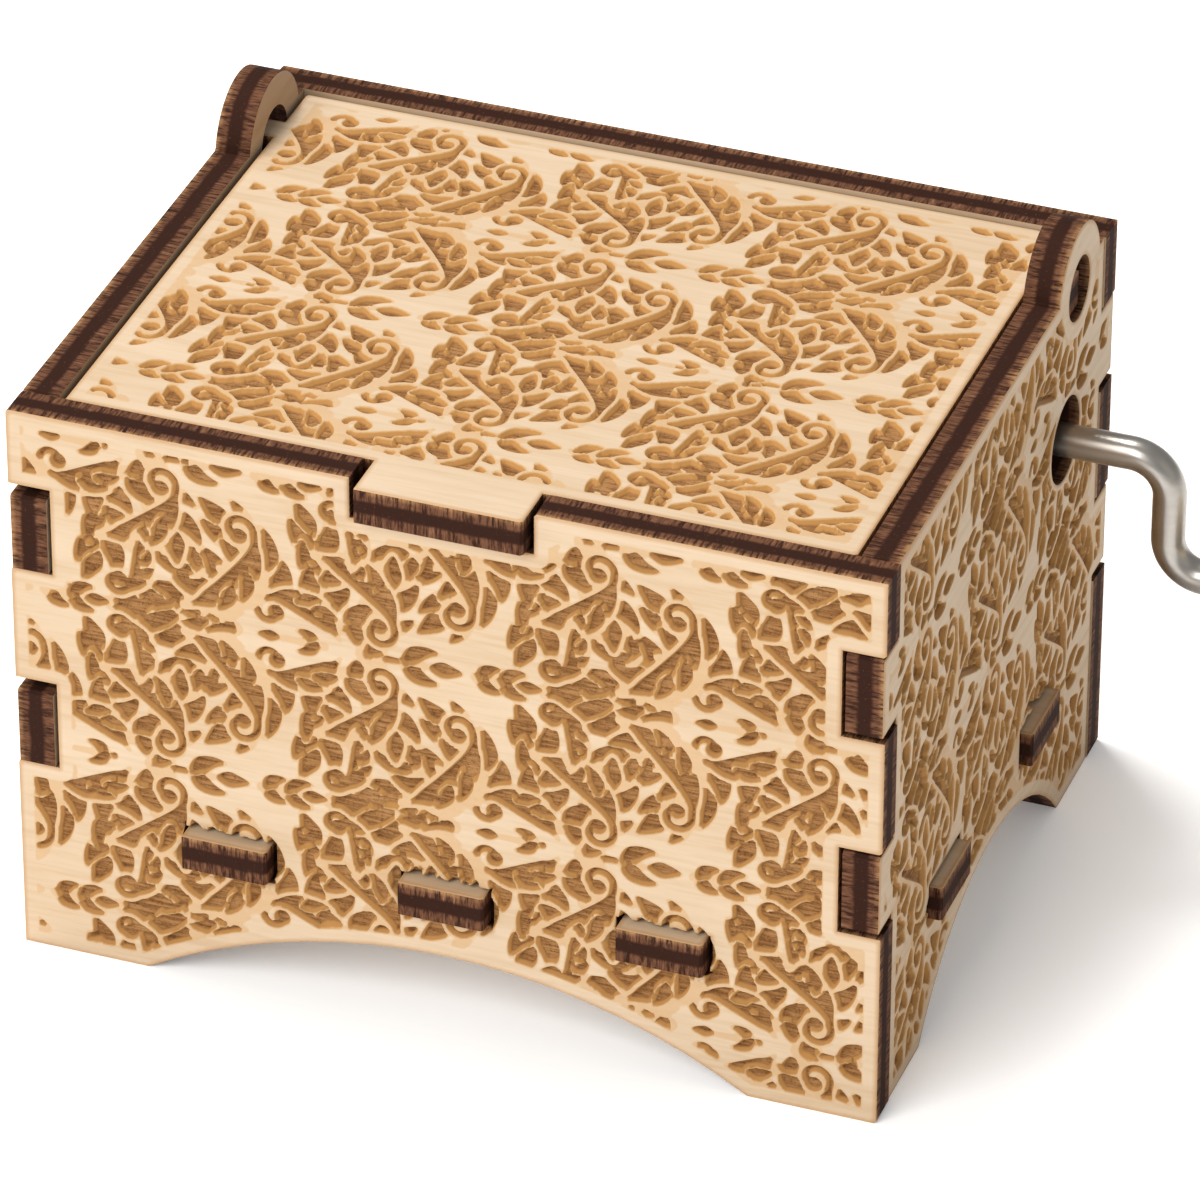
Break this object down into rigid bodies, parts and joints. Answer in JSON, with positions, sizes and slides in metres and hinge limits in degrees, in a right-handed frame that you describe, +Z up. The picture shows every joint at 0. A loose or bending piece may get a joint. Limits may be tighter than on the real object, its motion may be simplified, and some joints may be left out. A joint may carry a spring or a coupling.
{
  "type": "hand-crank music box",
  "caption": "Small plywood box with a tabbed hinged lid, arched feet and a pinned-cylinder comb movement that a bent steel crank on its right side turns through a worm and wheel.",
  "frame": {"origin": "on the table, under the centre of the whole object's bounding box, crank and knob included", "axes": "+X to the crank's side, +Y to the hinge side (the back), +Z up"},
  "size_m": [0.0904, 0.0542, 0.0496],
  "materials": {
    "engraved_ply": "laser-engraved light plywood, burnt edges",
    "plain_ply": "plain light plywood",
    "zinc_bed": "die-cast zinc, dull",
    "spring_steel": "brushed",
    "bright_steel": "nickel-plated, bright",
    "sheet_steel": "zinc-plated sheet",
    "lead": "dull lead",
    "brass": "turned",
    "knob": "smooth ivory plastic"
  },
  "bodies": {
    "box": {"back_panel": "engraved_ply", "bed_plate": "zinc_bed", "comb": "spring_steel", "comb_weight_1": "lead", "comb_weight_2": "lead", "comb_weight_3": "lead", "comb_weight_4": "lead", "crank_bracket": "sheet_steel", "floor_panel": "plain_ply", "front_arbor_bracket": "sheet_steel", "front_arbor_screw": "bright_steel", "front_comb_screw": "bright_steel", "front_left_bed_screw": "bright_steel", "front_left_bed_washer": "bright_steel", "front_panel": "engraved_ply", "front_right_bed_screw": "bright_steel", "front_right_bed_washer": "bright_steel", "inner_crank_bush": "brass", "left_crank_bracket_screw": "bright_steel", "left_side_panel": "engraved_ply", "outer_crank_bush": "brass", "rear_arbor_bracket": "sheet_steel", "rear_arbor_screw": "bright_steel", "rear_comb_screw": "bright_steel", "rear_left_bed_screw": "bright_steel", "rear_left_bed_washer": "bright_steel", "rear_right_bed_screw": "bright_steel", "rear_right_bed_washer": "bright_steel", "right_crank_bracket_screw": "bright_steel", "right_side_panel": "engraved_ply"},
    "lid": {"lid": "engraved_ply"},
    "crank": {"crank_rod": "bright_steel", "worm": "bright_steel", "shaft_collar": "bright_steel"},
    "knob": {"crank_knob": "knob"},
    "cylinder": {"cylinder_barrel": "brass", "front_end_cap": "brass", "rear_end_cap": "brass", "cylinder_arbor": "bright_steel", "worm_wheel": "brass"}
  },
  "joints": [
    {"name": "lid_hinge", "type": "hinge", "parent": "box", "child": "lid", "pos_m": [-0.01155, 0.0175, 0.044], "axis": [-1, 0, 0], "range_deg": [0, 148]},
    {"name": "crank_turn", "type": "hinge", "parent": "box", "child": "crank", "pos_m": [0.02125, 0.0153, 0.033], "axis": [1, 0, 0], "continuous": true},
    {"name": "knob_spin", "type": "hinge", "parent": "crank", "child": "knob", "pos_m": [0.03465, 0.0153, 0.0235], "axis": [1, 0, 0], "continuous": true},
    {"name": "cylinder_turn", "type": "hinge", "parent": "box", "child": "cylinder", "pos_m": [-0.00235, 0.00205, 0.02435], "axis": [0, 1, 0], "continuous": true}
  ],
  "couplings": [
    {"joint": "cylinder_turn", "follows": "crank_turn", "ratio": -0.038462}
  ]
}
